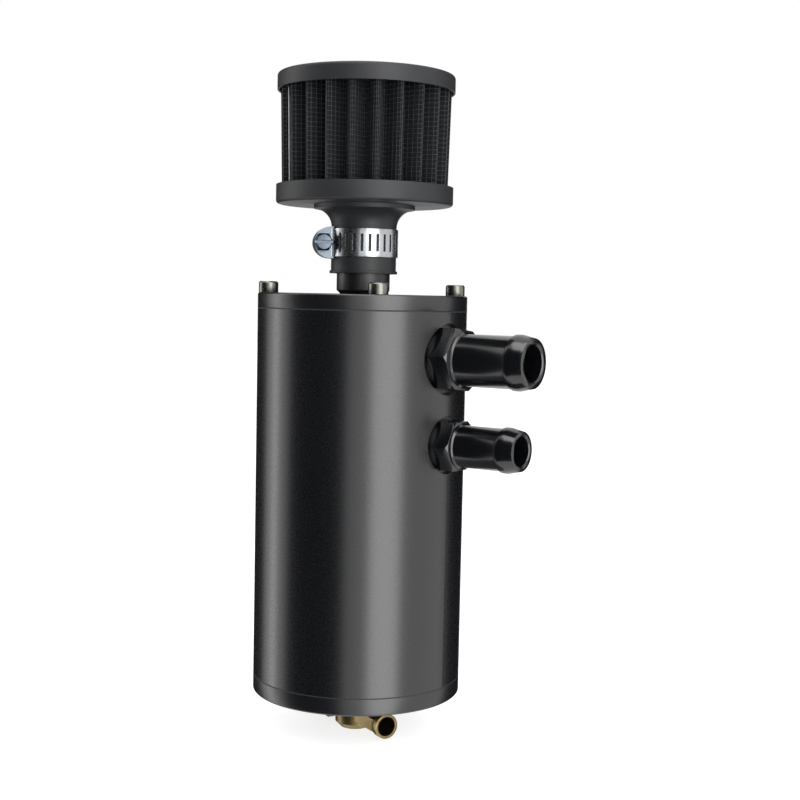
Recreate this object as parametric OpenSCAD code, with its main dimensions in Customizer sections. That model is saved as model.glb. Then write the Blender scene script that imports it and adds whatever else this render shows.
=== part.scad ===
// Oil catch can: a black anodised canister with a breather filter on its lid,
// two barbed hose ports on its side and a brass drain valve under its base.
// +Z is up, +X is the way the hose ports point, +Y is the way the mounting pad
// faces. The origin is midway between the two mounting holes, on their faces.

/* [Can] */
// Outside diameter of the can, lid and base
can_d = 76; // [70:1:90]
// Length of the extruded body, without lid and base
body_len = 133; // [110:1:200]
// Thickness of the body wall
wall = 3.5; // [2.5:0.1:4.5]
// Thickness of the lid
lid_h = 5.4; // [4.5:0.1:8]
// Thickness of the base cap
base_h = 6; // [5:0.1:9]
// Chamfer on the outer edges of the lid and base
edge_chamfer = 0.5; // [0.2:0.1:1]
// Depth of the locating step of the lid and base in the body
register_h = 2; // [1:0.1:3]
// Clearance of that step inside the body's ribs
register_gap = 0.4; // [0.2:0.1:1]
// Thickness of the flat seals under the lid and over the base
gasket_t = 0.4; // [0.3:0.1:1]

/* [Lid and base screws] */
// Diameter of the circle that the lid screws stand on
lid_screw_circle = 68.6; // [66:0.1:68.6]
// Diameter of the circle of the countersunk base screws
base_screw_circle = 66.4; // [64:0.1:67]
// Distance of each screw rib's centre from the can's outside
rib_inset = 4.4; // [4:0.1:5]
// Radius of the screw ribs inside the body
rib_r = 4.4; // [4:0.1:5]
// Diameter of the screws over their thread's flanks
screw_d = 3.6; // [3:0.1:4]
// Length of each screw below its head
screw_len = 16; // [12:1:20]
// Clearance round a screw in the lid and base
screw_gap = 0.25; // [0.1:0.05:0.4]
// Depth left free below each screw
hole_relief = 2; // [1:0.5:4]
// Head diameter of the lid screws
cap_head_d = 7; // [6:0.1:7.2]
// Head height of the lid screws
cap_head_h = 4; // [3:0.1:4.5]
// Width of the hexagon socket in the lid screws
socket_af = 3; // [2.5:0.1:3.5]
// Head diameter of the base screws
sunk_head_d = 7.4; // [6.5:0.1:7.6]

/* [Hose ports] */
// Height of the large port above the bottom of the base
large_port_z = 123; // [118:1:123]
// Height of the small port above the bottom of the base
small_port_z = 93; // [80:1:95]
// Diameter of the large port's tube
large_tube_d = 18.2; // [16:0.1:19]
// Bore of the large port
large_bore_d = 12.6; // [10:0.1:13]
// Width across the flats of the large port's hexagon
large_hex_af = 21; // [19.5:0.1:22]
// Thread diameter of the large port
large_thread_d = 16.6; // [15.5:0.1:18]
// Turn of the large port's hexagon about its own axis
large_hex_turn = 23.7; // [0:0.1:60]
// Distance of the large port's mouth from the can's axis
large_reach = 71.6; // [64:0.1:90]
// Diameter of the small port's tube
small_tube_d = 14.8; // [13:0.1:15.5]
// Bore of the small port
small_bore_d = 10.2; // [8:0.1:10.6]
// Width across the flats of the small port's hexagon
small_hex_af = 17; // [16:0.1:19]
// Thread diameter of the small port
small_thread_d = 13.2; // [12.6:0.1:14]
// Turn of the small port's hexagon about its own axis
small_hex_turn = 30; // [0:0.1:60]
// Distance of the small port's mouth from the can's axis
small_reach = 68; // [62:0.1:90]
// How far the hexagons' front faces stand from the can's surface
hex_proud = 6.3; // [4:0.1:9]
// How far the bead stands out of the tube, on the radius
bead_rise = 0.55; // [0.4:0.05:0.9]
// Length of the bead's straight crest
bead_land = 2; // [1.5:0.1:3]
// Length of the long chamfer from the bead to the mouth
nose_len = 4.5; // [3:0.1:6]
// How much narrower the mouth is than the tube, on the radius
nose_drop = 0.5; // [0.3:0.05:1]
// Thickness of the seal washers under the hexagons
port_seal_t = 1; // [0.6:0.1:1.5]

/* [Mounting holes] */
// Distance between the two mounting holes
mount_pitch = 80; // [60:1:90]
// Core diameter of the mounting holes, for an M6 thread
mount_hole_d = 5; // [4.2:0.1:5.2]
// Depth of the mounting holes
mount_hole_depth = 6.2; // [5:0.1:6.4]
// Diameter of the flat milled round each mounting hole
mount_spot_d = 18; // [14:0.5:20]
// Thickness that the mounting pad and port pad add inside the wall
pad_t = 5.3; // [4.5:0.1:5.3]
// Width of the pads
pad_w = 26; // [24:0.5:30]

/* [Breather] */
// Outside diameter of the spigot that carries the filter
spigot_d = 19.3; // [18:0.1:21]
// Bore of the spigot
spigot_bore_d = 12; // [10:0.1:13]
// Height of the spigot above the lid
spigot_len = 26; // [22:0.5:30]
// Thread diameter of the spigot in the lid
spigot_thread_d = 16; // [14.5:0.1:17]
// Gap between the lid and the filter's neck
neck_lift = 7.4; // [5:0.1:10]
// Wall of the filter's neck
neck_wall = 2.15; // [1.8:0.05:3]
// Length of the straight part of the neck
neck_len = 16.6; // [14:0.1:20]
// Radius of the flare under the filter
flare_r = 6.5; // [4:0.1:7.5]
// Outside diameter of the filter's rings
ring_d = 64; // [60:0.5:72]
// Height of the filter's lower ring
low_ring_h = 6.8; // [5:0.1:9]
// Height of the filter's top ring
top_ring_h = 6; // [5:0.1:9]
// Height of the filter over both rings
filter_h = 46.4; // [40:0.1:60]
// Number of pleats
pleats = 22; // [18:1:24]
// Radius at the pleats' outer folds, below the top ring
pleat_top_r = 31.2; // [30:0.1:31.2]
// Radius at the pleats' outer folds, above the lower ring
pleat_low_r = 30.3; // [29:0.1:31]
// Depth of the pleats
pleat_depth = 7; // [5:0.1:9]
// Thickness of the gauze layers
gauze_t = 1.2; // [0.9:0.1:1.4]
// Turn of the pleats about the axis
pleat_turn = -46.8; // [-60:0.1:0]

/* [Hose clamp] */
// Width of the clamp's band
band_w = 10; // [8:0.1:11]
// Thickness of the band
band_t = 0.6; // [0.5:0.1:0.8]
// Height of the band's middle above the end of the neck
band_lift = 10.9; // [8:0.1:11]
// Width of a slot in the band
slot_w = 1; // [0.8:0.1:1.4]
// Length of a slot in the band
slot_len = 6.1; // [5:0.1:6.6]
// Number of slots that a whole turn of band would have
slot_count = 27; // [22:1:30]
// Direction of the clamp's housing about the axis
clamp_turn = -137; // [-150:1:-110]
// Diameter of the clamp's screw over its thread
worm_d = 5; // [4.5:0.1:5.4]
// Width across the flats of the clamp screw's head
worm_head_af = 6; // [5.5:0.1:6.2]
// Height of the clamp screw's head
worm_head_h = 4; // [3:0.1:5]
// Thickness of the housing's sheet
housing_t = 0.7; // [0.6:0.1:0.8]

/* [Drain valve] */
// Direction of the outlet about the axis
valve_turn = -25; // [-90:1:20]
// Diameter of the valve's body
valve_d = 14.8; // [14:0.1:17]
// Length of the valve's body below its seal
valve_h = 13.5; // [13:0.1:17]
// Depth of the outlet's axis below the base
outlet_drop = 8.8; // [8.6:0.1:9.2]
// Distance of the outlet's mouth from the can's axis
outlet_reach = 23.4; // [20:0.1:30]
// Outside diameter of the outlet's ring
outlet_d = 8.9; // [8.5:0.1:9.4]
// Bore of the outlet
outlet_bore_d = 7; // [6:0.1:7.2]
// Width across the flats of the outlet's hexagon
outlet_hex_af = 7.8; // [7.6:0.1:8]
// Diameter of the turning plug in the valve
plug_d = 7.6; // [7.3:0.1:7.8]
// Running clearance of the plug and stem, on the radius
plug_gap = 0.03; // [0.02:0.01:0.06]
// Diameter of the waterway through the valve
waterway_d = 4.4; // [3.5:0.1:4.8]
// Thread diameter of the valve in the base
valve_thread_d = 9.6; // [9:0.1:11]
// Diameter of the knob
knob_d = 15; // [12:0.5:16]
// Length of the knob
knob_len = 6; // [5:0.1:9]

/* [Baffle] */
// Height of the baffle plate above the bottom of the base
baffle_z = 72; // [60:1:78]
// Thickness of the baffle plate
baffle_t = 1.5; // [1:0.1:2]
// Radius of the circle of the baffle's posts
post_circle_r = 20; // [18:0.5:22]
// Diameter of the posts
post_d = 6; // [5:0.1:7]
// Diameter of the baffle's drain holes
baffle_hole_d = 5; // [4:0.5:6]

/* [Hidden] */
$fn = 96;
// Overlap of a cutting shape past the face that it cuts
eps = 0.5;

// Can
can_r = can_d / 2;
inner_r = can_r - wall;
rib_at = can_r - rib_inset;
rib_reach = rib_at - rib_r;
pad_face = inner_r - pad_t;
register_r = min(rib_reach, pad_face) - register_gap;
base_seal_z = base_h;
body_z = base_seal_z + gasket_t;
lid_seal_z = body_z + body_len;
lid_z = lid_seal_z + gasket_t;
lid_top = lid_z + lid_h;
screw_r = screw_d / 2;
screw_hole_r = screw_r + screw_gap;
lid_screw_r = lid_screw_circle / 2;
base_screw_r = base_screw_circle / 2;
screw_angles = [45, 135, 225, 315];
sunk_head_h = sunk_head_d / 2 - screw_r;
socket_depth = cap_head_h / 2;

// Ports
spot_margin = 0.5;
spot_cut = 0.2;
hex_face_x = can_r + hex_proud;
large_spot_r = large_hex_af / sqrt(3) + spot_margin;
small_spot_r = small_hex_af / sqrt(3) + spot_margin;
large_spot_x = sqrt(can_r * can_r - large_spot_r * large_spot_r) - spot_cut;
small_spot_x = sqrt(can_r * can_r - small_spot_r * small_spot_r) - spot_cut;
port_stub = 1.5;
thread_chamfer = 0.8;
mouth_chamfer = 0.4;
washer_face = 0.3;
hex_chamfer = 0.9;

// Mounting holes
mount_spot_r = mount_spot_d / 2;
mount_face_y = sqrt(can_r * can_r - mount_spot_r * mount_spot_r) - spot_cut;
mount_mid_z = body_z + body_len / 2;

// Breather
spigot_r = spigot_d / 2;
spigot_foot = 1.4;
spigot_bead = 0.25;
spigot_seal_h = 1;
spigot_seal_w = 1.6;
neck_z = lid_top + neck_lift;
neck_r = spigot_r + neck_wall;
lip_h = 1;
lip_rise = 0.5;
ring_r = ring_d / 2;
filter_z = neck_z + neck_len + flare_r + 1.5;
filter_top = filter_z + filter_h;
base_floor = 3;
rim_gap = 0.15;
ring_round = 1.2;
core_r = pleat_low_r - pleat_depth - 2;
core_t = 0.8;
gauze_z = filter_z + base_floor;
cap_floor = 3;
gauze_h = filter_top - cap_floor - gauze_z;
dish_r = ring_r - 8;
dish_depth = 0.8;

// Clamp
band_z = neck_z + band_lift;
band_r = neck_r + band_t;
worm_r = worm_d / 2;
worm_at = band_r + worm_r + 0.3;
housing_w = band_w + 2 * housing_t;
housing_len = 9;
housing_foot = 1.5;
housing_sink = 1.2;
housing_shoulder = 0.6;
saddle_angle = 29;
collar_t = 1;
worm_gap = 0.06;
worm_pilot_r = 1.6;

// Valve
valve_seal_t = 1.2;
valve_seal_r = valve_d / 2 + 0.6;
valve_r = valve_d / 2;
outlet_r = outlet_d / 2;
outlet_bore_r = outlet_bore_d / 2;
outlet_ring_len = 2.9;
plug_r = plug_d / 2;
plug_end = outlet_bore_r + 0.6;
plug_bore_r = waterway_d / 2 + 0.3;
waterway_r = waterway_d / 2;
gland_boss_r = valve_r - 1.6;
gland_x = valve_r + 2.2;
gland_t = 2.8;
gland_af = 9;
stem_r = 2;
seal_groove = 1.2;
knob_gap = 0.4;
knob_r = knob_d / 2;
knob_scallops = 12;
knob_at = gland_x + gland_t + knob_gap;

// Baffle
baffle_r = register_r;
post_r = post_d / 2;
post_stud_r = 1.4;
post_stud_len = 2.6;
post_top = lid_z - register_h;
baffle_screw_head_r = 2.6;
baffle_screw_head_h = 1.6;
baffle_screw_len = 8;
post_angles = [60, 180, 300];

black_anodised = "#17181b";
black_rubber = "#262729";
bright_steel = "#b9bec4";
brass_colour = "#a98a4c";

// Puts the whole model, drawn about the can's axis, in its own frame
module place() {
    translate([0, -mount_face_y, -mount_mid_z]) children();
}

// A ring of square section
module ring(outer_r, hole_r, h) {
    difference() {
        cylinder(r = outer_r, h = h);
        translate([0, 0, -eps]) cylinder(r = hole_r, h = h + 2 * eps);
    }
}

// A solid disc with a chamfer at its top edge
module disc(r, h, chamfer) {
    rotate_extrude()
        polygon([[0, 0], [r, 0], [r, h - chamfer], [r - chamfer, h], [0, h]]);
}

// Children round the axis at the angles given
module at_angles(angles, r) {
    for (a = angles) rotate([0, 0, a]) translate([r, 0, 0]) children();
}

// The body's inside: a round bore with four screw ribs and two pads
module bore_outline() {
    difference() {
        circle(r = inner_r);
        for (a = screw_angles) rotate(a) translate([rib_at, 0]) circle(r = rib_r);
        for (a = [0, 90]) rotate(a) translate([pad_face, -pad_w / 2]) square([can_r, pad_w]);
    }
}

// The extrusion's section, which the seals follow too
module end_outline() {
    difference() {
        circle(r = can_r);
        bore_outline();
    }
}

module can_body() {
    hole_depth = screw_len + hole_relief;
    color(black_anodised) place() difference() {
        translate([0, 0, body_z]) linear_extrude(height = body_len) end_outline();
        at_angles(screw_angles, lid_screw_r)
            translate([0, 0, lid_seal_z - hole_depth + lid_h])
                cylinder(r = screw_r, h = hole_depth);
        at_angles(screw_angles, base_screw_r)
            translate([0, 0, body_z - eps])
                cylinder(r = screw_r, h = hole_depth - base_h + eps);
        port_cut(large_port_z, large_thread_d / 2, large_spot_r, large_spot_x);
        port_cut(small_port_z, small_thread_d / 2, small_spot_r, small_spot_x);
        for (side = [-1, 1])
            translate([0, mount_face_y, mount_mid_z + side * mount_pitch / 2])
                rotate([-90, 0, 0]) {
                    cylinder(r = mount_spot_r, h = can_r);
                    translate([0, 0, -mount_hole_depth])
                        cylinder(r = mount_hole_d / 2, h = mount_hole_depth + eps);
                }
    }
}

// A port's threaded hole through the pad and the flat that its seal sits on
module port_cut(z, hole_r, spot_r, spot_x) {
    translate([0, 0, z]) rotate([0, 90, 0]) {
        translate([0, 0, pad_face - eps]) cylinder(r = hole_r, h = can_r);
        translate([0, 0, spot_x]) cylinder(r = spot_r, h = can_r);
    }
}

module lid() {
    color(black_anodised) place() difference() {
        union() {
            translate([0, 0, lid_z]) disc(can_r, lid_h, edge_chamfer);
            translate([0, 0, lid_z - register_h]) cylinder(r = register_r, h = register_h);
        }
        at_angles(screw_angles, lid_screw_r)
            translate([0, 0, lid_z - eps]) cylinder(r = screw_hole_r, h = lid_h + 2 * eps);
        translate([0, 0, post_top - eps])
            cylinder(r = spigot_thread_d / 2, h = lid_h + register_h + 2 * eps);
        translate([0, 0, lid_top - spigot_seal_h])
            ring(spigot_thread_d / 2 + spigot_seal_w, spigot_thread_d / 2 - eps, lid_h);
        at_angles(post_angles, post_circle_r)
            translate([0, 0, post_top - eps]) cylinder(r = post_stud_r, h = post_stud_len + eps);
    }
}

module base_cap() {
    color(black_anodised) place() difference() {
        union() {
            translate([0, 0, base_h]) mirror([0, 0, 1]) disc(can_r, base_h, edge_chamfer);
            translate([0, 0, base_h]) cylinder(r = register_r, h = register_h);
        }
        at_angles(screw_angles, base_screw_r) rotate_extrude()
            polygon([[0, -eps], [sunk_head_d / 2, -eps], [sunk_head_d / 2, 0],
                     [screw_r, sunk_head_h], [screw_hole_r, sunk_head_h],
                     [screw_hole_r, base_h + eps], [0, base_h + eps]]);
        translate([0, 0, -eps])
            cylinder(r = valve_thread_d / 2, h = base_h + register_h + 2 * eps);
        // The floor slopes to the drain
        translate([0, 0, base_h + register_h]) rotate_extrude()
            polygon([[0, -register_h], [valve_thread_d / 2 + 1, -register_h],
                     [register_r - 2, 0], [register_r - 2, eps], [0, eps]]);
    }
}

// A flat seal with the body's section
module flat_seal(z, screw_at) {
    color(black_rubber) place() translate([0, 0, z]) linear_extrude(height = gasket_t)
        difference() {
            end_outline();
            for (a = screw_angles) rotate(a) translate([screw_at, 0]) circle(r = screw_hole_r);
        }
}

module lid_seal() {
    flat_seal(lid_seal_z, lid_screw_r);
}

module base_seal() {
    flat_seal(base_seal_z, base_screw_r);
}

module lid_screws() {
    color(bright_steel) place() at_angles(screw_angles, lid_screw_r) translate([0, 0, lid_top])
        difference() {
            union() {
                translate([0, 0, -screw_len]) cylinder(r = screw_r, h = screw_len);
                disc(cap_head_d / 2, cap_head_h, edge_chamfer);
            }
            translate([0, 0, cap_head_h - socket_depth])
                cylinder(d = socket_af * 2 / sqrt(3), h = cap_head_h, $fn = 6);
        }
}

module base_screws() {
    color(bright_steel) place() at_angles(screw_angles, base_screw_r)
        difference() {
            rotate_extrude()
                polygon([[0, 0], [sunk_head_d / 2, 0], [screw_r, sunk_head_h],
                         [screw_r, screw_len], [0, screw_len]]);
            translate([0, 0, -eps])
                cylinder(d = socket_af * 2 / sqrt(3), h = socket_depth + eps, $fn = 6);
        }
}

// A hexagon across the axis, its front corners turned off
module chamfered_hex(af, h) {
    intersection() {
        cylinder(d = af * 2 / sqrt(3), h = h, $fn = 6);
        disc(af / sqrt(3), h, hex_chamfer);
    }
}

// A barbed port along +Z, drawn from its seat: thread below, hexagon and tube above
module port(tube_r, bore_r, thread_r, hex_af, hex_turn, seat, reach) {
    face = hex_face_x - seat;
    tip = reach - seat;
    crest_end = tip - nose_len;
    crest_start = crest_end - bead_land;
    thread_end = seat - pad_face + port_stub;
    difference() {
        union() {
            translate([0, 0, port_seal_t]) rotate([0, 0, hex_turn])
                chamfered_hex(hex_af, face - port_seal_t - washer_face);
            rotate_extrude()
                polygon([[0, -thread_end], [thread_r - thread_chamfer, -thread_end],
                         [thread_r, -thread_end + thread_chamfer], [thread_r, port_seal_t + eps],
                         [hex_af / 2 - hex_chamfer, port_seal_t + eps],
                         [hex_af / 2 - hex_chamfer, face], [tube_r + 0.6, face],
                         [tube_r, face + 0.6], [tube_r, crest_start - bead_rise],
                         [tube_r + bead_rise, crest_start], [tube_r + bead_rise, crest_end],
                         [tube_r - nose_drop, tip], [0, tip]]);
        }
        translate([0, 0, -thread_end - eps]) cylinder(r = bore_r, h = thread_end + tip + 2 * eps);
        translate([0, 0, tip - mouth_chamfer])
            cylinder(r1 = bore_r, r2 = bore_r + mouth_chamfer + eps, h = mouth_chamfer + eps);
    }
}

// Puts a port or its seal on its seat
module at_port(z, seat) {
    place() translate([seat, 0, z]) rotate([0, 90, 0]) children();
}

module large_port() {
    color(black_anodised) at_port(large_port_z, large_spot_x)
        port(large_tube_d / 2, large_bore_d / 2, large_thread_d / 2, large_hex_af,
             large_hex_turn, large_spot_x, large_reach);
}

module small_port() {
    color(black_anodised) at_port(small_port_z, small_spot_x)
        port(small_tube_d / 2, small_bore_d / 2, small_thread_d / 2, small_hex_af,
             small_hex_turn, small_spot_x, small_reach);
}

module large_port_seal() {
    color(black_rubber) at_port(large_port_z, large_spot_x)
        ring(large_hex_af / 2, large_thread_d / 2, port_seal_t);
}

module small_port_seal() {
    color(black_rubber) at_port(small_port_z, small_spot_x)
        ring(small_hex_af / 2, small_thread_d / 2, port_seal_t);
}

module baffle_plate() {
    color(bright_steel) place() translate([0, 0, baffle_z]) linear_extrude(height = baffle_t)
        difference() {
            circle(r = baffle_r);
            for (a = [0:30:330]) rotate(a) translate([post_circle_r / 2, 0])
                circle(d = baffle_hole_d / 2);
            for (a = [0:30:330]) if (a % 120 != 60)
                rotate(a) translate([post_circle_r, 0]) circle(d = baffle_hole_d);
            for (a = post_angles) rotate(a) translate([post_circle_r, 0]) circle(r = post_stud_r);
        }
}

module baffle_posts() {
    low = baffle_z + baffle_t;
    color(bright_steel) place() at_angles(post_angles, post_circle_r)
        difference() {
            union() {
                translate([0, 0, low]) cylinder(r = post_r, h = post_top - low);
                translate([0, 0, low]) cylinder(r = post_stud_r, h = post_top - low + post_stud_len);
            }
            translate([0, 0, low - eps]) cylinder(r = post_stud_r, h = baffle_screw_len + eps);
        }
}

module baffle_screws() {
    color(bright_steel) place() at_angles(post_angles, post_circle_r)
        translate([0, 0, baffle_z]) {
            cylinder(r = post_stud_r, h = baffle_screw_len);
            translate([0, 0, -baffle_screw_head_h])
                cylinder(r = baffle_screw_head_r, h = baffle_screw_head_h);
        }
}

module breather_spigot() {
    thread_r = spigot_thread_d / 2;
    color(black_anodised) place() translate([0, 0, lid_top]) difference() {
        rotate_extrude() union() {
            polygon([[0, -lid_h - register_h], [thread_r, -lid_h - register_h],
                     [thread_r, 0], [spigot_r - spigot_foot, 0], [spigot_r, spigot_foot],
                     [spigot_r, spigot_len - thread_chamfer],
                     [spigot_r - thread_chamfer, spigot_len], [0, spigot_len]]);
        }
        translate([0, 0, -lid_h - register_h - eps])
            cylinder(r = spigot_bore_d / 2, h = lid_h + register_h + spigot_len + 2 * eps);
    }
}

module spigot_seal() {
    color(black_rubber) place() translate([0, 0, lid_top - spigot_seal_h])
        ring(spigot_thread_d / 2 + spigot_seal_w, spigot_thread_d / 2, spigot_seal_h);
}

// The filter's moulded base: a tray for the pleats, a flare and the neck
module filter_base() {
    flare_top = neck_z + neck_len + flare_r;
    color(black_rubber) place() difference() {
        rotate_extrude() difference() {
            union() {
                translate([spigot_r, neck_z]) square([neck_wall, filter_z - neck_z + base_floor]);
                translate([spigot_r, neck_z]) square([neck_wall + lip_rise, lip_h]);
                translate([neck_r - eps, neck_z + neck_len])
                    square([flare_r + eps, flare_r + 1.5 + eps]);
                translate([spigot_r, filter_z]) square([ring_r - ring_round - spigot_r, low_ring_h]);
                translate([spigot_r, filter_z + ring_round])
                    square([ring_r - spigot_r, low_ring_h - ring_round]);
                translate([ring_r - ring_round, filter_z + ring_round]) circle(r = ring_round);
            }
            translate([neck_r + flare_r, neck_z + neck_len]) circle(r = flare_r);
            translate([neck_r, neck_z + neck_len - flare_r]) square([2 * flare_r, flare_r]);
            translate([spigot_r - eps, gauze_z]) square([pleat_low_r + rim_gap - spigot_r + eps, filter_h]);
        }
    }
}

// One point of the pleated sheet, on its outer or inner side: round folds on a wave
function pleat_wave(t) = (1 + cos(t)) / 2;
function pleat_point(i, steps, side) =
    let (a = i * 360 / (pleats * steps),
         w = pleat_wave(i * 360 / steps),
         r = pleat_low_r - gauze_t / 2 - pleat_depth * (1 - w) + side * gauze_t / 2)
    [r * cos(a), r * sin(a)];

module pleat_outline(side) {
    steps = 8;
    polygon([for (i = [0 : pleats * steps - 1]) pleat_point(i, steps, side)]);
}

module filter_gauze() {
    color(black_rubber) place() translate([0, 0, gauze_z]) rotate([0, 0, pleat_turn])
        linear_extrude(height = gauze_h, scale = pleat_top_r / pleat_low_r) difference() {
            pleat_outline(1);
            pleat_outline(-1);
        }
}

module filter_core() {
    window_h = gauze_h / 5;
    color(bright_steel) place() translate([0, 0, gauze_z]) difference() {
        ring(core_r, core_r - core_t, gauze_h);
        for (level = [0 : 3], a = [0 : 45 : 135])
            rotate([0, 0, a + 22.5 * (level % 2)])
                translate([-core_r - eps, -core_r / 4, (level + 0.5) * gauze_h / 4 - window_h / 2])
                    cube([2 * core_r + 2 * eps, core_r / 2, window_h]);
    }
}

module filter_cap() {
    low = filter_top - top_ring_h;
    color(black_rubber) place() rotate_extrude() difference() {
        union() {
            translate([0, low]) square([ring_r, top_ring_h - ring_round]);
            translate([0, low]) square([ring_r - ring_round, top_ring_h]);
            translate([ring_r - ring_round, filter_top - ring_round]) circle(r = ring_round);
        }
        translate([-eps, low - eps]) square([pleat_top_r + rim_gap + eps, top_ring_h - cap_floor + eps]);
        translate([-eps, filter_top - dish_depth]) square([dish_r + eps, dish_depth + eps]);
    }
}

module clamp_band() {
    pitch = 360 / slot_count;
    color(bright_steel) place() translate([0, 0, band_z - band_w / 2]) rotate([0, 0, clamp_turn])
        difference() {
            ring(band_r, neck_r, band_w);
            for (i = [3 : slot_count - 3]) rotate([0, 0, i * pitch])
                translate([neck_r - eps, -slot_w / 2, (band_w - slot_len) / 2])
                    cube([band_t + 2 * eps, slot_w, slot_len]);
        }
}

// Puts the clamp's parts at its screw: the screw lies along +Z, the band is at -X
module at_worm() {
    place() translate([0, 0, band_z]) rotate([0, 0, clamp_turn]) translate([worm_at, 0, 0])
        rotate([-90, 0, 0]) children();
}

// The folded sheet over the screw, open to the band, on a saddle that wraps the band
module clamp_housing() {
    outer = worm_r + worm_gap + housing_t;
    feet = worm_at - band_r;
    half_w = housing_w / 2;
    color(bright_steel) {
        at_worm() translate([0, 0, -housing_len / 2]) difference() {
            linear_extrude(height = housing_len) {
                circle(r = outer);
                polygon([[-feet - housing_sink, -half_w], [-feet + housing_foot, -half_w],
                         [housing_shoulder, -outer + housing_t / 4],
                         [housing_shoulder, outer - housing_t / 4],
                         [-feet + housing_foot, half_w], [-feet - housing_sink, half_w]]);
            }
            translate([0, 0, collar_t]) linear_extrude(height = housing_len - 2 * collar_t) {
                circle(r = worm_r + worm_gap);
                translate([-worm_at, -worm_r - worm_gap]) square([worm_at, 2 * (worm_r + worm_gap)]);
            }
            translate([0, 0, -eps]) cylinder(r = worm_pilot_r + worm_gap, h = housing_len + 2 * eps);
            translate([-worm_at, 0, housing_len / 2]) rotate([90, 0, 0])
                cylinder(r = band_r, h = 2 * housing_w, center = true);
        }
        place() translate([0, 0, band_z - half_w]) rotate([0, 0, clamp_turn])
            linear_extrude(height = housing_w) difference() {
                intersection() {
                    circle(r = band_r + housing_t);
                    polygon([[0, 0], [can_r, -can_r * tan(saddle_angle)],
                             [can_r, housing_len / 2], [0, housing_len / 2]]);
                }
                circle(r = band_r);
                translate([0, -housing_len / 2 + collar_t])
                    square([can_r, housing_len - 2 * collar_t]);
            }
    }
}

module clamp_screw() {
    half = housing_len / 2;
    color(bright_steel) at_worm() difference() {
        union() {
            translate([0, 0, -half + collar_t + worm_gap])
                cylinder(r = worm_r, h = housing_len - 2 * (collar_t + worm_gap));
            translate([0, 0, -half - worm_gap]) cylinder(r = worm_pilot_r, h = housing_len + 2 * worm_gap);
            translate([0, 0, half + worm_gap]) chamfered_hex(worm_head_af, worm_head_h);
        }
        translate([-worm_head_af, -slot_w / 2, half + worm_head_h - slot_w])
            cube([2 * worm_head_af, slot_w, worm_head_h]);
    }
}

// Puts the valve's parts under the base, with the outlet along +X
module at_valve() {
    place() rotate([0, 0, valve_turn]) children();
}

// The same, on the axis of the plug and outlet, which runs along +Z
module at_outlet() {
    at_valve() translate([0, 0, -outlet_drop]) rotate([0, 90, 0]) children();
}

module valve_seal() {
    color(black_rubber) at_valve() translate([0, 0, -valve_seal_t])
        ring(valve_seal_r, valve_thread_d / 2, valve_seal_t);
}

module valve_body() {
    bottom = -valve_seal_t - valve_h;
    edge = 2;
    color(brass_colour) difference() {
        union() {
            at_valve() rotate_extrude()
                polygon([[0, bottom], [valve_r - edge, bottom], [valve_r, bottom + edge],
                         [valve_r, -valve_seal_t], [valve_thread_d / 2, -valve_seal_t],
                         [valve_thread_d / 2, base_h], [0, base_h]]);
            at_outlet() {
                cylinder(d = outlet_hex_af * 2 / sqrt(3), h = outlet_reach - outlet_ring_len, $fn = 6);
                translate([0, 0, outlet_reach - outlet_ring_len])
                    cylinder(r = outlet_r, h = outlet_ring_len);
                translate([0, 0, -gland_x]) cylinder(r = gland_boss_r, h = gland_x);
            }
        }
        at_outlet() {
            translate([0, 0, -gland_x - eps])
                cylinder(r = plug_r + plug_gap, h = gland_x + plug_end + eps);
            translate([0, 0, plug_end - eps])
                cylinder(r = outlet_bore_r, h = outlet_reach - plug_end + 2 * eps);
        }
        at_valve() translate([0, 0, -outlet_drop]) cylinder(r = waterway_r, h = outlet_drop + base_h + eps);
    }
}

// The plug turns in the body; its side hole meets the waterway when it is open
module valve_plug() {
    plug_tail = gland_x - seal_groove;
    color(brass_colour) at_outlet() difference() {
        union() {
            translate([0, 0, -plug_tail]) cylinder(r = plug_r, h = plug_tail + plug_end);
            translate([0, 0, -knob_at - knob_len + 1]) cylinder(r = stem_r, h = knob_at + knob_len - 1);
        }
        translate([0, 0, -waterway_r - eps]) cylinder(r = plug_bore_r, h = plug_end + waterway_r + 2 * eps);
        rotate([-90, 0, 0]) cylinder(r = waterway_r, h = plug_r + eps);
    }
}

module plug_seal() {
    color(black_rubber) at_outlet() translate([0, 0, -gland_x])
        ring(plug_r, stem_r + plug_gap, seal_groove - 2 * plug_gap);
}

module gland_nut() {
    color(brass_colour) at_outlet() translate([0, 0, -gland_x - gland_t]) difference() {
        mirror([0, 0, 1]) translate([0, 0, -gland_t]) chamfered_hex(gland_af, gland_t);
        translate([0, 0, -eps]) cylinder(r = stem_r + plug_gap, h = gland_t + 2 * eps);
    }
}

module valve_knob() {
    color(black_rubber) at_outlet() translate([0, 0, -knob_at - knob_len]) difference() {
        mirror([0, 0, 1]) translate([0, 0, -knob_len]) disc(knob_r, knob_len, 1);
        at_angles([for (i = [0 : knob_scallops - 1]) i * 360 / knob_scallops], knob_r + 0.6)
            translate([0, 0, -eps]) cylinder(r = 1.2, h = knob_len + 2 * eps);
        translate([0, 0, 1]) cylinder(r = stem_r, h = knob_len);
    }
}

can_body();
lid();
base_cap();
lid_seal();
base_seal();
lid_screws();
base_screws();
large_port();
small_port();
large_port_seal();
small_port_seal();
baffle_plate();
baffle_posts();
baffle_screws();
breather_spigot();
spigot_seal();
filter_base();
filter_gauze();
filter_core();
filter_cap();
clamp_band();
clamp_housing();
clamp_screw();
valve_seal();
valve_body();
valve_plug();
plug_seal();
gland_nut();
valve_knob();
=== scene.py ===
"""Looks of an oil catch can: finishes for its CAD solids, a pleated breather gauze under wire
mesh, a stamped clamp housing and the studio that they stand in. All lengths are in metres."""
import math
import random

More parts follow.
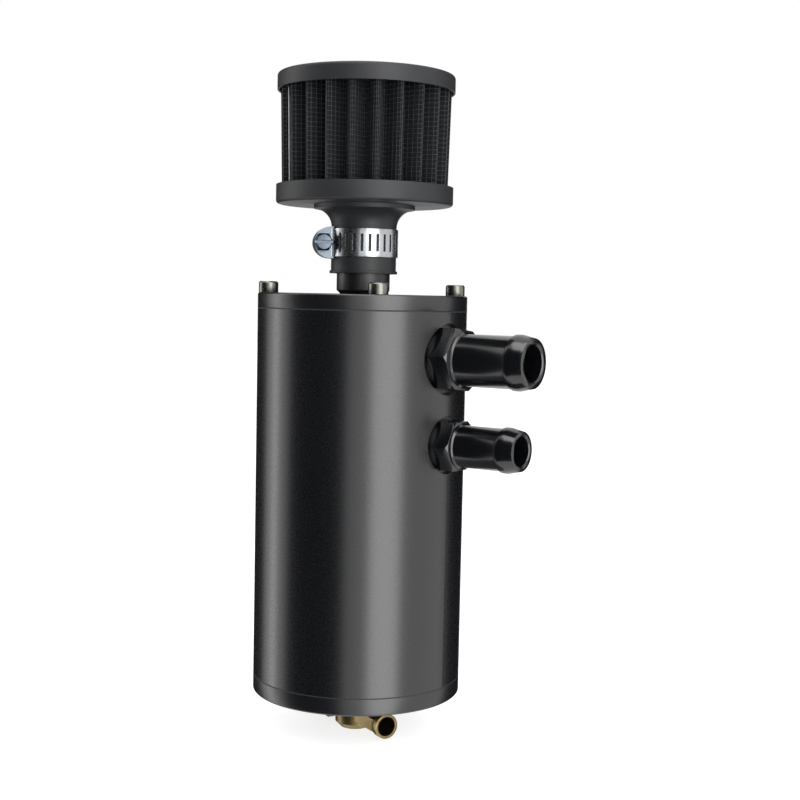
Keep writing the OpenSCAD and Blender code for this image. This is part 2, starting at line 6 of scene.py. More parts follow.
import bmesh
import bpy
from bpy.props import FloatProperty, FloatVectorProperty, IntProperty, PointerProperty, StringProperty
from mathutils import Matrix, Vector


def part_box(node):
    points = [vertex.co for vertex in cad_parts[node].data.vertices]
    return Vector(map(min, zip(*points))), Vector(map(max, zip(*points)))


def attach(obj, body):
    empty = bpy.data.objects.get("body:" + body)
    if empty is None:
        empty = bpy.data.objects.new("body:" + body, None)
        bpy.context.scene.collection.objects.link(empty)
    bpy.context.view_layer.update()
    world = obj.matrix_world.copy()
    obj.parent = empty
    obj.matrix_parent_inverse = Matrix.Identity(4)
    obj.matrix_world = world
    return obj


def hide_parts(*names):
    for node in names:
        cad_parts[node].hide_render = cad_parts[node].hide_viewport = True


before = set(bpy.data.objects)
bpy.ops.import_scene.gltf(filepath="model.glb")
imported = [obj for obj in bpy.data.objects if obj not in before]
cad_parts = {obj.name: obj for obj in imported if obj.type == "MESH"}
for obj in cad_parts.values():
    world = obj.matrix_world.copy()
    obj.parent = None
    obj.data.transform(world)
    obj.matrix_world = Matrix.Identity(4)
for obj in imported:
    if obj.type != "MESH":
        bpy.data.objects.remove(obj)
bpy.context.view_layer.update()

bl_info = {
    "name": "Oil Catch Can",
    "version": (1, 0, 0),
    "blender": (4, 5, 0),
    "location": "View3D > Sidebar > Catch Can",
    "description": "Dresses the oil catch can and sets up its studio",
    "category": "Object",
}

MM = 0.001
# The can's axis, between the sides of the lid
LID_LOW, LID_HIGH = (Vector(corner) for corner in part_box("lid"))
AXIS = Vector(((LID_LOW.x + LID_HIGH.x) / 2, (LID_LOW.y + LID_HIGH.y) / 2, 0))
BASE_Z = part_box("base_cap")[0][2]
GAUZE_LOW, GAUZE_HIGH = (Vector(corner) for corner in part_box("filter_gauze"))
LOW_RING_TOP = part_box("filter_base")[1][2]
TOP_RING_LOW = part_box("filter_cap")[0][2]
VALVE_LOW = Vector(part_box("valve_body")[0])
BAND_LOW, BAND_HIGH = (Vector(corner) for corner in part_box("clamp_band"))
BAND_R = (BAND_HIGH.x - BAND_LOW.x) / 2
# Radius of the gauze in the lower ring over that in the upper one
PLEAT_TAPER = 30.3 / 31.2
# How far one ridge of the gauze may stand inside the others
RIDGE_PLAY = 0.25 * MM
PLEAT_ROWS = 8
# The mesh runs this far into both rings
MESH_TUCK = 1 * MM
# The clamp's housing: room over the screw, room beside the band, its feet and its round
SCREW_ROOM = 0.1 * MM
BAND_ROOM = 0.05 * MM
DOME_FOOT = 1.0 * MM
DOME_STEPS = 16
# The saddle: points along it, the share of it on one side and its sheet over the housing's
SADDLE_STEPS = 12
SADDLE_SHARE = 0.62
SADDLE_SHEET = 0.8
# The cards stand this far from the can's axis, and start this far below its middle
CARD_R = 0.95
CARD_LOW = -1.0
FLOOR_HALF = 3.0


# Colours, shader nodes and small mesh helpers

def srgb(code):
    """A linear colour from an sRGB hex value."""
    parts = [int(code[i:i + 2], 16) / 255 for i in (1, 3, 5)]
    return [p / 12.92 if p <= 0.04045 else ((p + 0.055) / 1.055) ** 2.4 for p in parts] + [1.0]


def add_node(tree, kind, links=None, values=None, **settings):
    """A shader node with its settings, its input values and what its inputs are linked to."""
    node = tree.nodes.new(kind)
    for key, value in settings.items():
        setattr(node, key, value)
    for key, value in (values or {}).items():
        node.inputs[key].default_value = value
    for key, source in (links or {}).items():
        tree.links.new(source, node.inputs[key])
    return node


def start_material(name):
    """An empty node material, its tree, its Principled shader and its Object coordinates."""
    material = bpy.data.materials.new(name)
    material.use_nodes = True
    tree = material.node_tree
    tree.nodes.clear()
    shader = add_node(tree, "ShaderNodeBsdfPrincipled")
    add_node(tree, "ShaderNodeOutputMaterial", {"Surface": shader.outputs[0]})
    place = add_node(tree, "ShaderNodeTexCoord").outputs["Object"]
    return material, tree, shader, place


def dress(names, material):
    """Gives CAD nodes a material."""
    for name in names:
        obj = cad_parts[name]
        obj.data.materials.clear()
        obj.data.materials.append(material)


def softened(node, material, width, body="can", corner_deg=28):
    """Puts a copy with rounded edges in a CAD node's place: the solid's own triangles are
    joined, its flat faces cleared of seams and its corners given a small radius."""
    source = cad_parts[node]
    bm = bmesh.new()
    bm.from_mesh(source.data)
    bmesh.ops.transform(bm, matrix=source.matrix_world, verts=bm.verts)
    bmesh.ops.remove_doubles(bm, verts=bm.verts, dist=0.001 * MM)
    bmesh.ops.dissolve_limit(bm, angle_limit=math.radians(0.3), verts=bm.verts, edges=bm.edges)
    corners = [e for e in bm.edges if len(e.link_faces) == 2
               and e.calc_face_angle(0) > math.radians(corner_deg)]
    bmesh.ops.bevel(bm, geom=corners, offset=width, offset_type="OFFSET", segments=2,
                    profile=0.5, affect="EDGES", material=-1, clamp_overlap=True)
    obj = keep(bm, node + "_finished", material, body)
    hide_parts(node)
    return obj


def keep(bm, name, material, body="can", smooth_deg=35):
    """Makes the finished bmesh an object that rides on a body."""
    bmesh.ops.recalc_face_normals(bm, faces=bm.faces)
    mesh = bpy.data.meshes.new(name)
    bm.to_mesh(mesh)
    bm.free()
    mesh.materials.append(material)
    mesh.set_sharp_from_angle(angle=math.radians(smooth_deg))
    for polygon in mesh.polygons:
        polygon.use_smooth = True
    obj = bpy.data.objects.new(name, mesh)
    bpy.context.scene.collection.objects.link(obj)
    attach(obj, body)
    return obj


# Sizes and colours that a user would change

class CanFinishes(bpy.types.PropertyGroup):
    """Colours of the finishes"""
    anodised: StringProperty(name="Anodised black", description="Colour of the aluminium parts",
                             default="#08090c")
    rubber: StringProperty(name="Rubber", description="Colour of the filter's moulded rings",
                           default="#1c1d1f")
    gauze: StringProperty(name="Gauze", description="Colour of the oiled cotton gauze",
                          default="#0c0e11")
    wire: StringProperty(name="Wire", description="Colour of the coated wire over the gauze",
                         default="#4a4b4e")
    steel: StringProperty(name="Steel", description="Colour of the band and screws",
                          default="#c3c7cb")
    stamped: StringProperty(name="Stamped sheet", description="Colour of the clamp's housing",
                            default="#8a939d")
    screws: StringProperty(name="Screws", description="Colour of the lid's screws",
                           default="#85857d")
    zinc: StringProperty(name="Zinc", description="Colour of the plated clamp screw",
                         default="#76808c")
    brass: StringProperty(name="Brass", description="Colour of the drain valve",
                          default="#958459")
    nylon: StringProperty(name="Nylon", description="Colour of the valve's knob",
                          default="#1a1b1c")


class FilterSizes(bpy.types.PropertyGroup):
    """Sizes of the pleated filter"""
    pleats: IntProperty(name="Pleats", description="Number of pleats round the filter", default=22)
    fold_steps: IntProperty(name="Steps", description="Points round one pleat", default=16)
    depth: FloatProperty(name="Depth", description="Depth of the pleats", default=7 * MM,
                         subtype="DISTANCE", unit="LENGTH")
    thickness: FloatProperty(name="Thickness", description="Thickness of the gauze",
                             default=1.0 * MM, subtype="DISTANCE", unit="LENGTH")
    turn: FloatProperty(name="Turn", description="Direction of one pleat's ridge",
                        default=math.radians(-46.8), subtype="ANGLE", unit="ROTATION")
    seam_turn: FloatProperty(name="Seam turn", description="Direction of the mesh's seam",
                             default=math.radians(-121.7), subtype="ANGLE", unit="ROTATION")
    seam_inset: FloatProperty(name="Seam inset", description="Of the seam from the ridges",
                              default=0.6 * MM, subtype="DISTANCE", unit="LENGTH")
    wire_pitch: FloatProperty(name="Wire pitch", description="Distance between the mesh's wires",
                              default=1.6 * MM, subtype="DISTANCE", unit="LENGTH")
    wire: FloatProperty(name="Wire", description="Thickness of the mesh's wires",
                        default=0.3 * MM, subtype="DISTANCE", unit="LENGTH")


class ClampSizes(bpy.types.PropertyGroup):
    """Sizes of the hose clamp"""
    turn: FloatProperty(name="Turn", description="Direction of the clamp's housing",
                        default=math.radians(-137), subtype="ANGLE", unit="ROTATION")
    screw_r: FloatProperty(name="Screw radius", description="Radius of the screw over its thread",
                           default=2.5 * MM, subtype="DISTANCE", unit="LENGTH")
    screw_lift: FloatProperty(name="Screw lift", description="Gap between the band and the screw",
                              default=0.3 * MM, subtype="DISTANCE", unit="LENGTH")
    sheet: FloatProperty(name="Sheet", description="Thickness of the housing's sheet",
                         default=0.6 * MM, subtype="DISTANCE", unit="LENGTH")
    length: FloatProperty(name="Length", description="Length of the housing along the screw",
                          default=9 * MM, subtype="DISTANCE", unit="LENGTH")
    wrap: FloatProperty(name="Wrap", description="How far the saddle follows the band",
                        default=math.radians(50), subtype="ANGLE", unit="ROTATION")


class StudioSettings(bpy.types.PropertyGroup):
    """Where the camera stands and how it looks"""
    azimuth: FloatProperty(name="Azimuth", description="Direction of the camera round the can",
                           default=math.radians(36.3), subtype="ANGLE", unit="ROTATION")
    distance: FloatProperty(name="Distance", description="From the camera to the can's axis",
                            default=0.5016, subtype="DISTANCE", unit="LENGTH")
    height: FloatProperty(name="Height", description="Of the camera above the can's base",
                          default=0.1444, subtype="DISTANCE", unit="LENGTH")
    look: FloatVectorProperty(name="Look", description="Yaw, pitch and roll of the camera",
                              default=(math.radians(1.63), math.radians(-4.28), math.radians(1.17)),
                              subtype="EULER", unit="ROTATION")
    lens: FloatProperty(name="Lens", description="Focal length in millimetres", default=61.83)


def finishes():
    """The colours in use."""
    return bpy.context.scene.can_finishes


def anodised_aluminium(name="Black anodised aluminium", roughness=0.27):
    """Extruded and turned aluminium, bead finished and anodised black: a dark satin with soft,
    slightly blue reflections that spread along the surface."""
    material, tree, shader, place = start_material(name)
    colour = srgb(finishes().anodised)
    grain = add_node(tree, "ShaderNodeTexNoise", {"Vector": place},
                     {"Scale": 1 / (1.2 * MM), "Detail": 3.0, "Roughness": 0.6})
    cloud = add_node(tree, "ShaderNodeTexNoise", {"Vector": place},
                     {"Scale": 1 / (28 * MM), "Detail": 2.0, "Roughness": 0.5})
    tone = add_node(tree, "ShaderNodeMix", {"Factor": cloud.outputs["Fac"]}, data_type="RGBA")
    tone.inputs["A"].default_value = colour
    tone.inputs["B"].default_value = [c * 1.35 for c in colour[:3]] + [1.0]
    tree.links.new(tone.outputs["Result"], shader.inputs["Base Color"])
    gloss = add_node(tree, "ShaderNodeMapRange", {"Value": grain.outputs["Fac"]},
                     {"From Min": 0.3, "From Max": 0.7, "To Min": roughness - 0.02,
                      "To Max": roughness + 0.02})
    tree.links.new(gloss.outputs["Result"], shader.inputs["Roughness"])
    bump = add_node(tree, "ShaderNodeBump", {"Height": grain.outputs["Fac"]},
                    {"Strength": 0.02, "Distance": 0.02 * MM})
    tree.links.new(bump.outputs["Normal"], shader.inputs["Normal"])
    shader.inputs["Metallic"].default_value = 0.0
    shader.inputs["IOR"].default_value = 1.75
    return material


def moulded_rubber(name="Moulded rubber", roughness=0.5, code=None):
    """Black moulded rubber, or nylon of its own colour: matt, with a faint grey bloom."""
    material, tree, shader, place = start_material(name)
    colour = srgb(code or finishes().rubber)
    bloom = add_node(tree, "ShaderNodeTexNoise", {"Vector": place},
                     {"Scale": 1 / (9 * MM), "Detail": 4.0, "Roughness": 0.6})
    tone = add_node(tree, "ShaderNodeMix", {"Factor": bloom.outputs["Fac"]}, data_type="RGBA")
    tone.inputs["A"].default_value = [c * 0.8 for c in colour[:3]] + [1.0]
    tone.inputs["B"].default_value = [c * 1.5 for c in colour[:3]] + [1.0]
    tree.links.new(tone.outputs["Result"], shader.inputs["Base Color"])
    skin = add_node(tree, "ShaderNodeTexNoise", {"Vector": place},
                    {"Scale": 1 / (0.6 * MM), "Detail": 2.0, "Roughness": 0.5})
    bump = add_node(tree, "ShaderNodeBump", {"Height": skin.outputs["Fac"]},
                    {"Strength": 0.15, "Distance": 0.05 * MM})
    tree.links.new(bump.outputs["Normal"], shader.inputs["Normal"])
    shader.inputs["Roughness"].default_value = roughness
    shader.inputs["IOR"].default_value = 1.52
    return material


def oiled_gauze():
    """Cotton gauze, oiled and folded: nearly black, rough and fibrous."""
    material, tree, shader, place = start_material("Oiled cotton gauze")
    colour = srgb(finishes().gauze)
    weave = add_node(tree, "ShaderNodeTexNoise", {"Vector": place},
                     {"Scale": 1 / (0.7 * MM), "Detail": 4.0, "Roughness": 0.75})
    tone = add_node(tree, "ShaderNodeMix", {"Factor": weave.outputs["Fac"]}, data_type="RGBA")
    tone.inputs["A"].default_value = [c * 0.4 for c in colour[:3]] + [1.0]
    tone.inputs["B"].default_value = [c * 2.4 for c in colour[:3]] + [1.0]
    tree.links.new(tone.outputs["Result"], shader.inputs["Base Color"])
    bump = add_node(tree, "ShaderNodeBump", {"Height": weave.outputs["Fac"]},
                    {"Strength": 0.7, "Distance": 0.3 * MM})
    tree.links.new(bump.outputs["Normal"], shader.inputs["Normal"])
    shader.inputs["Roughness"].default_value = 0.9
    shader.inputs["Specular IOR Level"].default_value = 0.25
    return material


def coated_wire():
    """Aluminium wire with a thin black coat: a dull grey glint on the folds."""
    material, tree, shader, place = start_material("Coated wire mesh")
    colour = srgb(finishes().wire)
    wear = add_node(tree, "ShaderNodeTexNoise", {"Vector": place},
                    {"Scale": 1 / (1.5 * MM), "Detail": 2.0, "Roughness": 0.6})
    tone = add_node(tree, "ShaderNodeMix", {"Factor": wear.outputs["Fac"]}, data_type="RGBA")
    tone.inputs["A"].default_value = [c * 0.25 for c in colour[:3]] + [1.0]
    tone.inputs["B"].default_value = colour
    tree.links.new(tone.outputs["Result"], shader.inputs["Base Color"])
    shader.inputs["Roughness"].default_value = 0.5
    shader.inputs["Metallic"].default_value = 0.3
    return material


def bright_metal(name, code, roughness, streak, stain=0.85):
    """Rolled or turned metal: a clear mirror broken by fine marks, with faint darker stains."""
    material, tree, shader, place = start_material(name)
    colour = srgb(code)
    marks = add_node(tree, "ShaderNodeTexNoise", {"Vector": place},
                     {"Scale": 1 / streak, "Detail": 3.0, "Roughness": 0.6})
    patch = add_node(tree, "ShaderNodeTexNoise", {"Vector": place},
                     {"Scale": 1 / (4 * MM), "Detail": 3.0, "Roughness": 0.6})
    tone = add_node(tree, "ShaderNodeMix", {"Factor": patch.outputs["Fac"]}, data_type="RGBA")
    tone.inputs["A"].default_value = [c * stain for c in colour[:3]] + [1.0]
    tone.inputs["B"].default_value = colour
    tree.links.new(tone.outputs["Result"], shader.inputs["Base Color"])
    gloss = add_node(tree, "ShaderNodeMapRange", {"Value": marks.outputs["Fac"]},
                     {"From Min": 0.3, "From Max": 0.7, "To Min": roughness - 0.06,
                      "To Max": roughness + 0.08})
    tree.links.new(gloss.outputs["Result"], shader.inputs["Roughness"])
    bump = add_node(tree, "ShaderNodeBump", {"Height": marks.outputs["Fac"]},
                    {"Strength": 0.08, "Distance": 0.02 * MM})
    tree.links.new(bump.outputs["Normal"], shader.inputs["Normal"])
    shader.inputs["Metallic"].default_value = 1.0
    return material


# Pieces

class CATCHCAN_OT_shell(bpy.types.Operator):
    """Finish the canister, its lid and base, the ports and the spigot"""
    bl_idname = "catchcan.shell"
    bl_label = "Canister and ports"

    def execute(self, context):
        dress(["can_body"], anodised_aluminium())
        turned = anodised_aluminium("Turned black aluminium", 0.3)
        glossy = anodised_aluminium("Glossy black aluminium", 0.18)
        blasted = anodised_aluminium("Blasted black aluminium", 0.42)
        for part, finish, corner in (("lid", turned, 0.15 * MM), ("base_cap", turned, 0.15 * MM),
                                     ("large_port", glossy, 0.2 * MM),
                                     ("small_port", glossy, 0.2 * MM),
                                     ("breather_spigot", blasted, 0.15 * MM)):
            softened(part, finish, corner)
        seals = moulded_rubber("Seal rubber", 0.6)
        dress(["lid_seal", "base_seal", "large_port_seal", "small_port_seal", "spigot_seal",
               "valve_seal", "plug_seal"], seals)
        return {"FINISHED"}


class CATCHCAN_OT_inside(bpy.types.Operator):
    """Finish the baffle, its posts and screws and the filter's core"""
    bl_idname = "catchcan.inside"
    bl_label = "Inner parts"

    def execute(self, context):
        steel = bright_metal("Inner stainless steel", finishes().steel, 0.3, 0.6 * MM)
        dress(["baffle_plate", "baffle_posts", "baffle_screws", "filter_core", "base_screws"],
              steel)
        return {"FINISHED"}


class CATCHCAN_OT_filter_rings(bpy.types.Operator):
    """Finish the filter's moulded base and cap"""
    bl_idname = "catchcan.filter_rings"
    bl_label = "Filter rings"

    def execute(self, context):
        rubber = moulded_rubber()
        for ring in ("filter_base", "filter_cap"):
            softened(ring, rubber, 0.2 * MM)
        return {"FINISHED"}


def pleat_ring(bm, sizes, steps, z, radius, wobble):
    """A closed line of folds at one height: a circle whose points are moved to the pleats."""
    count = sizes.pleats * steps
    ring = bmesh.ops.create_circle(bm, segments=count, radius=1.0)["verts"]
    for vert in ring:
        angle = math.atan2(vert.co.y, vert.co.x)
        phase = angle * sizes.pleats
        fold = (1 + math.cos(phase)) / 2
        index = round(angle / (2 * math.pi) * sizes.pleats) % sizes.pleats
        reach = radius + wobble[index] - sizes.depth * (1 - fold)
        turn = angle + sizes.turn
        vert.co = AXIS + Vector((reach * math.cos(turn), reach * math.sin(turn), z))
    return ring


def pleated_band(sizes, steps, rows, radii, heights, wobble):
    """The folded sheet: one ring of folds, pulled up row by row and let out to the top."""
    bm = bmesh.new()
    (low_r, top_r), (low_z, top_z) = radii, heights
    pleat_ring(bm, sizes, steps, low_z, low_r, wobble)
    edges = bm.edges[:]
    growth = top_r / low_r
    for row in range(rows):
        made = bmesh.ops.extrude_edge_only(bm, edges=edges)["geom"]
        verts = [g for g in made if isinstance(g, bmesh.types.BMVert)]
        edges = [g for g in made if isinstance(g, bmesh.types.BMEdge)]
        before = 1 + (growth - 1) * row / rows
        after = 1 + (growth - 1) * (row + 1) / rows
        bmesh.ops.scale(bm, vec=(after / before, after / before, 1), verts=verts,
                        space=Matrix.Translation(-AXIS))
        bmesh.ops.translate(bm, vec=(0, 0, (top_z - low_z) / rows), verts=verts)
    return bm


class CATCHCAN_OT_pleats(bpy.types.Operator):
    """Build the pleated gauze and the wire mesh over it"""
    bl_idname = "catchcan.pleats"
    bl_label = "Pleats and wire mesh"

    def execute(self, context):
        sizes = context.scene.can_filter
        draw = random.Random(7)
        wobble = [draw.uniform(-RIDGE_PLAY, 0.0) for _ in range(sizes.pleats)]
        # Just inside the radii that the solid's own folds reach at the two rings
        top_r = (GAUZE_HIGH.x - GAUZE_LOW.x) / 2 - 0.1 * MM
        low_r = top_r * PLEAT_TAPER
        cloth_r = (low_r - sizes.wire, top_r - sizes.wire)
        heights = (GAUZE_LOW.z, GAUZE_HIGH.z)
        bm = pleated_band(sizes, sizes.fold_steps, PLEAT_ROWS, cloth_r, heights, wobble)
        gauze = keep(bm, "gauze_sheet", oiled_gauze(), smooth_deg=80)
        thick = gauze.modifiers.new("Sheet", "SOLIDIFY")
        thick.thickness = sizes.thickness
        thick.offset = -1.0
        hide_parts("filter_gauze")

        shown = (LOW_RING_TOP - MESH_TUCK, TOP_RING_LOW + MESH_TUCK)
        rows = round((shown[1] - shown[0]) / sizes.wire_pitch)
        # Along one fold: down and up its sides, and a third of its pitch over its ridge
        fold_length = 2 * sizes.depth + 2 * math.pi * low_r / sizes.pleats / 3
        steps = round(fold_length / sizes.wire_pitch)
        share = [(z - heights[0]) / (heights[1] - heights[0]) for z in shown]
        wire_r = [low_r + (top_r - low_r) * s for s in share]
        bm = pleated_band(sizes, steps, rows, wire_r, shown, wobble)
        mesh = keep(bm, "wire_mesh", coated_wire(), smooth_deg=80)
        wires = mesh.modifiers.new("Wires", "WIREFRAME")
        wires.thickness = sizes.wire
        wires.use_even_offset = False
        wires.offset = -1.0
        strip = bright_metal("Seam strip", finishes().steel, 0.4, 0.4 * MM, 0.6)
        keep(self.seam(sizes, wire_r, shown), "mesh_seam", strip)
        return {"FINISHED"}

    def seam(self, sizes, radii, heights):
        """The folded strip that joins the ends of the mesh, a little inside the ridges."""
        width, depth, corner = 0.8 * MM, 1.4 * MM, 0.15 * MM
        bm = bmesh.new()
        bmesh.ops.create_cube(bm, size=1.0)
        bmesh.ops.scale(bm, vec=(depth, width, heights[1] - heights[0]), verts=bm.verts)
        for vert in bm.verts:
            reach = radii[1] if vert.co.z > 0 else radii[0]
            vert.co.x += reach - depth - sizes.seam_inset
        place = Matrix.Translation(AXIS + Vector((0, 0, sum(heights) / 2)))
        turn = Matrix.Rotation(sizes.seam_turn, 4, "Z")
        bmesh.ops.transform(bm, matrix=place @ turn, verts=bm.verts)
        bmesh.ops.bevel(bm, geom=bm.edges[:], offset=corner, segments=2, profile=0.5,
                        affect="EDGES", material=-1)
        return bm


def extruded_line(points, way, thickness):
    """A sheet: a line of points pulled along a way, then given its thickness inwards."""
    bm = bmesh.new()
    verts = [bmesh.ops.create_vert(bm, co=point)["vert"][0] for point in points]
    edges = [bm.edges.new(pair) for pair in zip(verts, verts[1:])]
    made = bmesh.ops.extrude_edge_only(bm, edges=edges)["geom"]
    moved = [g for g in made if isinstance(g, bmesh.types.BMVert)]
    bmesh.ops.translate(bm, vec=way, verts=moved)
    bmesh.ops.recalc_face_normals(bm, faces=bm.faces)
    bmesh.ops.solidify(bm, geom=bm.faces[:], thickness=thickness)
    return bm


def dome_line(sizes, inset, shift):
    """The dome's section, smaller by inset, shifted along the screw from its middle."""
    out = Vector((math.cos(sizes.turn), math.sin(sizes.turn), 0))
    along = Vector((-out.y, out.x, 0))
    middle = Vector((AXIS.x, AXIS.y, (BAND_LOW.z + BAND_HIGH.z) / 2)) + out * BAND_R
    rise = 2 * sizes.screw_r + sizes.screw_lift + sizes.sheet + SCREW_ROOM - inset
    half = (BAND_HIGH.z - BAND_LOW.z) / 2 + sizes.sheet + BAND_ROOM - inset
    start = middle + along * shift
    line = []
    for step in range(DOME_STEPS + 1):
        angle = math.pi * (step / DOME_STEPS - 0.5)
        line.append(start + out * rise * math.cos(angle) + Vector((0, 0, half * math.sin(angle))))
    return line, out, along


def housing_sheet(sizes):
    """The domed sheet over the screw, its feet beside the band."""
    line, out, along = dome_line(sizes, 0.0, -sizes.length / 2)
    foot = out * -DOME_FOOT
    line = [line[0] + foot, *line, line[-1] + foot]
    return extruded_line(line, along * sizes.length, sizes.sheet)


def housing_ends(sizes):
    """The two plates between which the screw turns, just inside the dome's ends."""
    bm = bmesh.new()
    thick = sizes.sheet
    for shift in (-sizes.length / 2 + thick / 2, sizes.length / 2 - 1.5 * thick):
        line, out, along = dome_line(sizes, sizes.sheet, shift)
        plate = bm.faces.new([bmesh.ops.create_vert(bm, co=point)["vert"][0] for point in line])
        made = bmesh.ops.extrude_face_region(bm, geom=[plate])["geom"]
        moved = [g for g in made if isinstance(g, bmesh.types.BMVert)]
        bmesh.ops.translate(bm, vec=along * thick, verts=moved)
    return bm


def saddle_sheet(sizes):
    """The curved sheet between the housing and the band."""
    low = Vector((0, 0, BAND_LOW.z))
    line = []
    for step in range(SADDLE_STEPS + 1):
        angle = sizes.turn + sizes.wrap * (step / SADDLE_STEPS - SADDLE_SHARE)
        reach = BAND_R + sizes.sheet
        line.append(AXIS + low + Vector((math.cos(angle), math.sin(angle), 0)) * reach)
    up = Vector((0, 0, BAND_HIGH.z - BAND_LOW.z))
    return extruded_line(line, up, sizes.sheet * SADDLE_SHEET)


class CATCHCAN_OT_clamp(bpy.types.Operator):
    """Build the hose clamp's housing and finish its band and screw"""
    bl_idname = "catchcan.clamp"
    bl_label = "Hose clamp"

    def execute(self, context):
        sizes = context.scene.can_clamp
        strip = bright_metal("Rolled stainless strip", finishes().steel, 0.28, 0.5 * MM)
        softened("clamp_band", strip, 0.1 * MM)
        stamped = bright_metal("Stamped stainless sheet", finishes().stamped, 0.38, 0.5 * MM)
        housing = keep(housing_sheet(sizes), "housing_dome", stamped)
        keep(housing_ends(sizes), "housing_ends", stamped)
        keep(saddle_sheet(sizes), "housing_saddle", strip)
        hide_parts("clamp_housing")
        zinc = bright_metal("Zinc plated steel", finishes().zinc, 0.38, 0.3 * MM, 0.7)
        softened("clamp_screw", zinc, 0.3 * MM, body="clamp_worm")
        return {"FINISHED"}


class CATCHCAN_OT_lid_screws(bpy.types.Operator):
    """Finish the lid's screws"""
    bl_idname = "catchcan.lid_screws"
    bl_label = "Lid screws"

    def execute(self, context):
        steel = bright_metal("Turned stainless steel", finishes().screws, 0.28, 0.4 * MM)
        softened("lid_screws", steel, 0.2 * MM)
        return {"FINISHED"}


class CATCHCAN_OT_valve(bpy.types.Operator):
    """Finish the drain valve"""
    bl_idname = "catchcan.valve"
    bl_label = "Drain valve"

    def execute(self, context):
        brass = bright_metal("Turned brass", finishes().brass, 0.36, 0.4 * MM, 0.5)
        dress(["valve_plug"], brass)
        for part in ("valve_body", "gland_nut"):
            softened(part, brass, 0.08 * MM)
        nylon = moulded_rubber("Moulded nylon", 0.4, finishes().nylon)
        softened("valve_knob", nylon, 0.25 * MM, body="drain_plug")
        return {"FINISHED"}


# Stage

def aim(location, target):
    """A matrix that stands at location and looks at target, with Z up."""
    turn = (Vector(target) - Vector(location)).to_track_quat("-Z", "Y")
    return Matrix.Translation(location) @ turn.to_matrix().to_4x4()


def around(azimuth, distance, height):
    """A point round the can's axis: azimuth 0 looks along +Y, as the camera's does."""
    return AXIS + Vector((math.sin(azimuth) * distance, -math.cos(azimuth) * distance, height))


def softbox(name, azimuth, distance, height, width, tall, power):
    """A rectangular lamp that faces the can."""
    lamp = bpy.data.lights.new(name, "AREA")
    lamp.shape = "RECTANGLE"
    lamp.size, lamp.size_y = width, tall
    lamp.energy = power
    obj = bpy.data.objects.new(name, lamp)
    obj.matrix_world = aim(around(azimuth, distance, height), AXIS)
    bpy.context.scene.collection.objects.link(obj)
    return obj


def card(name, azimuth, spread, high, material):
    """A curved card round the can that only mirrors see."""
    bm = bmesh.new()
    start = azimuth - spread / 2
    ends = [bmesh.ops.create_vert(bm, co=around(start, CARD_R, z))["vert"][0]
            for z in (CARD_LOW, high)]
    edge = bm.edges.new(ends)
    bmesh.ops.spin(bm, geom=[*ends, edge], cent=AXIS, axis=(0, 0, 1), angle=spread, steps=32)
    mesh = bpy.data.meshes.new(name)
    bm.to_mesh(mesh)
    bm.free()
    mesh.materials.append(material)
    obj = bpy.data.objects.new(name, mesh)
    bpy.context.scene.collection.objects.link(obj)
    obj.visible_camera = False
    obj.visible_diffuse = False
    obj.visible_shadow = False
    obj.visible_transmission = False
    return obj


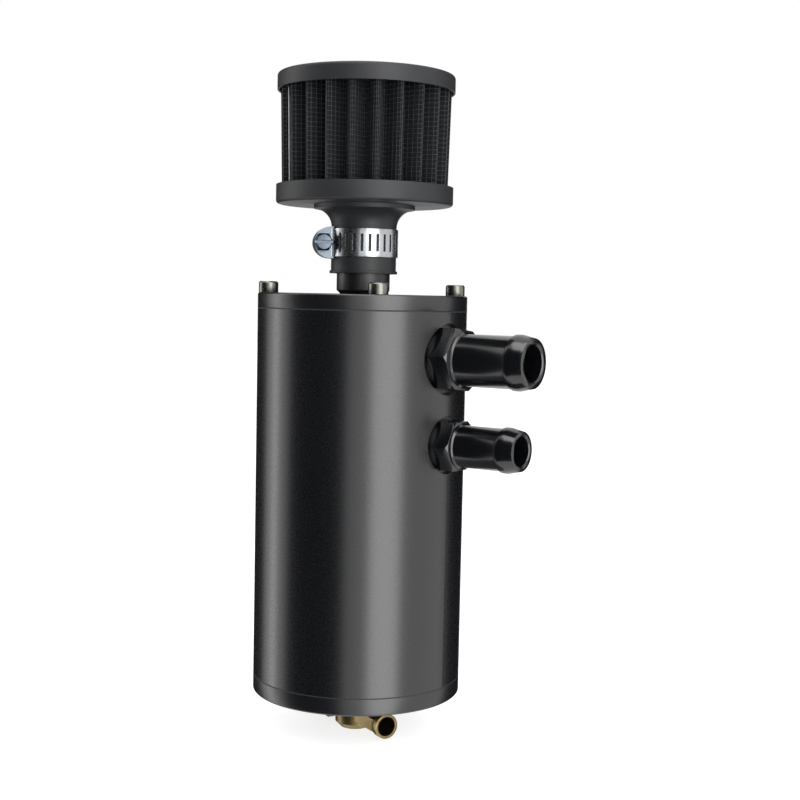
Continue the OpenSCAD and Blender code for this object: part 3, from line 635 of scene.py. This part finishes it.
class CATCHCAN_OT_stage(bpy.types.Operator):
    """Set up the floor, the world, the lamps, the cards and the camera"""
    bl_idname = "catchcan.stage"
    bl_label = "Studio"

    def execute(self, context):
        scene = context.scene
        studio = scene.can_studio
        scene.view_settings.view_transform = "Standard"
        self.make_world(scene)
        self.make_floor()
        front = studio.azimuth
        softbox("Key softbox", front + math.radians(28), distance=0.8, height=0.1,
                width=0.5, tall=1.6, power=6.9)
        softbox("Left strip", front - math.radians(104), distance=0.8, height=0.1,
                width=0.16, tall=1.6, power=1.6)
        softbox("Top softbox", front, distance=0.3, height=1.1, width=0.9, tall=0.9, power=5)
        material, _, shader, _ = start_material("Black card")
        shader.inputs["Base Color"].default_value = srgb("#050505")
        shader.inputs["Roughness"].default_value = 1.0
        for name, turn, spread, high in (("Front card", -49, 68, 1.4), ("Right card", 136, 54, 0.9),
                                         ("Left card", -146, 46, 0.9)):
            card(name, front + math.radians(turn), math.radians(spread), high, material)
        self.make_camera(scene, studio)
        return {"FINISHED"}

    def make_world(self, scene):
        """White for the camera, mirrors and glass, and a plain level of light for the rest."""
        world = bpy.data.worlds.new("Studio")
        scene.world = world
        world.use_nodes = True
        tree = world.node_tree
        tree.nodes.clear()
        path = add_node(tree, "ShaderNodeLightPath")
        seen = add_node(tree, "ShaderNodeMath", {0: path.outputs["Is Camera Ray"],
                                                 1: path.outputs["Is Glossy Ray"]},
                        operation="MAXIMUM")
        seen = add_node(tree, "ShaderNodeMath", {0: seen.outputs[0],
                                                 1: path.outputs["Is Transmission Ray"]},
                        operation="MAXIMUM")
        level = add_node(tree, "ShaderNodeMapRange", {"Value": seen.outputs[0]},
                         {"To Min": 0.5, "To Max": 1.0})
        back = add_node(tree, "ShaderNodeBackground", {"Strength": level.outputs["Result"]},
                        {"Color": (1, 1, 1, 1)})
        add_node(tree, "ShaderNodeOutputWorld", {"Surface": back.outputs[0]})

    def make_floor(self):
        """A pale floor just under the valve, bright enough to meet the white world."""
        bm = bmesh.new()
        bmesh.ops.create_grid(bm, x_segments=2, y_segments=2, size=FLOOR_HALF)
        bmesh.ops.translate(bm, vec=(AXIS.x, AXIS.y, VALVE_LOW.z), verts=bm.verts)
        mesh = bpy.data.meshes.new("Floor")
        bm.to_mesh(mesh)
        bm.free()
        material, _, shader, _ = start_material("Pale floor")
        shader.inputs["Base Color"].default_value = srgb("#e6e6e6")
        shader.inputs["Roughness"].default_value = 0.9
        shader.inputs["Emission Color"].default_value = (1, 1, 1, 1)
        shader.inputs["Emission Strength"].default_value = 0.75
        mesh.materials.append(material)
        floor = bpy.data.objects.new("Floor", mesh)
        bpy.context.scene.collection.objects.link(floor)
        # Mirrors look past it, to the white world, the lamps and the cards
        floor.visible_glossy = False

    def make_camera(self, scene, studio):
        """The camera, where the photograph was taken from."""
        data = bpy.data.cameras.new("Camera")
        data.lens = studio.lens
        data.sensor_width = 36.0
        data.clip_start = 0.01
        camera = bpy.data.objects.new("Camera", data)
        scene.collection.objects.link(camera)
        yaw, pitch, roll = studio.look
        spin = Matrix.Rotation(studio.azimuth - yaw, 4, "Z")
        tilt = Matrix.Rotation(math.radians(90) + pitch, 4, "X")
        lean = Matrix.Rotation(roll, 4, "Z")
        spot = around(studio.azimuth, studio.distance, BASE_Z + studio.height)
        camera.matrix_world = Matrix.Translation(spot) @ spin @ tilt @ lean
        scene.camera = camera


class CATCHCAN_PT_panel(bpy.types.Panel):
    """The catch can's steps"""
    bl_idname = "CATCHCAN_PT_panel"
    bl_label = "Catch Can"
    bl_space_type = "VIEW_3D"
    bl_region_type = "UI"
    bl_category = "Catch Can"

    def draw(self, context):
        layout = self.layout
        for step in STEPS:
            layout.operator(step.bl_idname)
        for group, settings in GROUPS.items():
            for key in settings.__annotations__:
                layout.prop(getattr(context.scene, group), key)


STEPS = (CATCHCAN_OT_shell, CATCHCAN_OT_inside, CATCHCAN_OT_filter_rings, CATCHCAN_OT_pleats,
         CATCHCAN_OT_clamp, CATCHCAN_OT_lid_screws, CATCHCAN_OT_valve, CATCHCAN_OT_stage)
GROUPS = {"can_finishes": CanFinishes, "can_filter": FilterSizes, "can_clamp": ClampSizes,
          "can_studio": StudioSettings}


def register():
    """Adds the classes and the settings to Blender."""
    for cls in (*GROUPS.values(), *STEPS, CATCHCAN_PT_panel):
        bpy.utils.register_class(cls)
    for key, group in GROUPS.items():
        setattr(bpy.types.Scene, key, PointerProperty(type=group))


def unregister():
    """Takes them out again."""
    for key in GROUPS:
        delattr(bpy.types.Scene, key)
    for cls in (CATCHCAN_PT_panel, *reversed(STEPS), *GROUPS.values()):
        bpy.utils.unregister_class(cls)


def main():
    """Runs every step in order."""
    register()
    for step in STEPS:
        group, name = step.bl_idname.split(".")
        getattr(getattr(bpy.ops, group), name)()


if __name__ == "__main__":
    main()
